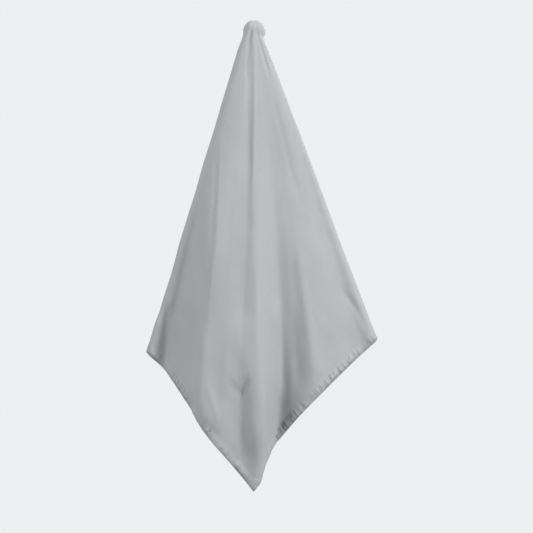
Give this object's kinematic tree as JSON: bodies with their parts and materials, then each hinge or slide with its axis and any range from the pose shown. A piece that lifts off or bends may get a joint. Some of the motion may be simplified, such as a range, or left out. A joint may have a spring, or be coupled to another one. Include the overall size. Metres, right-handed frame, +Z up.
{
  "type": "bandana on a wall knob",
  "caption": "Square hemmed bandana hung by one corner from a round wall knob, its sides turned back and its front in long soft folds.",
  "frame": {"origin": "centre of the wall knob's back face, where the knob meets the wall", "axes": "+Z up, +X to the right as the front is seen, +Y into the wall, the front facing -Y"},
  "size_m": [0.3635, 0.0975, 0.7363],
  "materials": {
    "cloth": "plain grey fine-woven cloth, soft matt",
    "metal": "satin"
  },
  "bodies": {
    "root": {"cloth_panel": "cloth", "hem_upper_left": "cloth", "hem_upper_right": "cloth", "hem_lower_left": "cloth", "hem_lower_right": "cloth", "wall_knob": "metal", "knob_plate": "metal"}
  },
  "joints": []
}
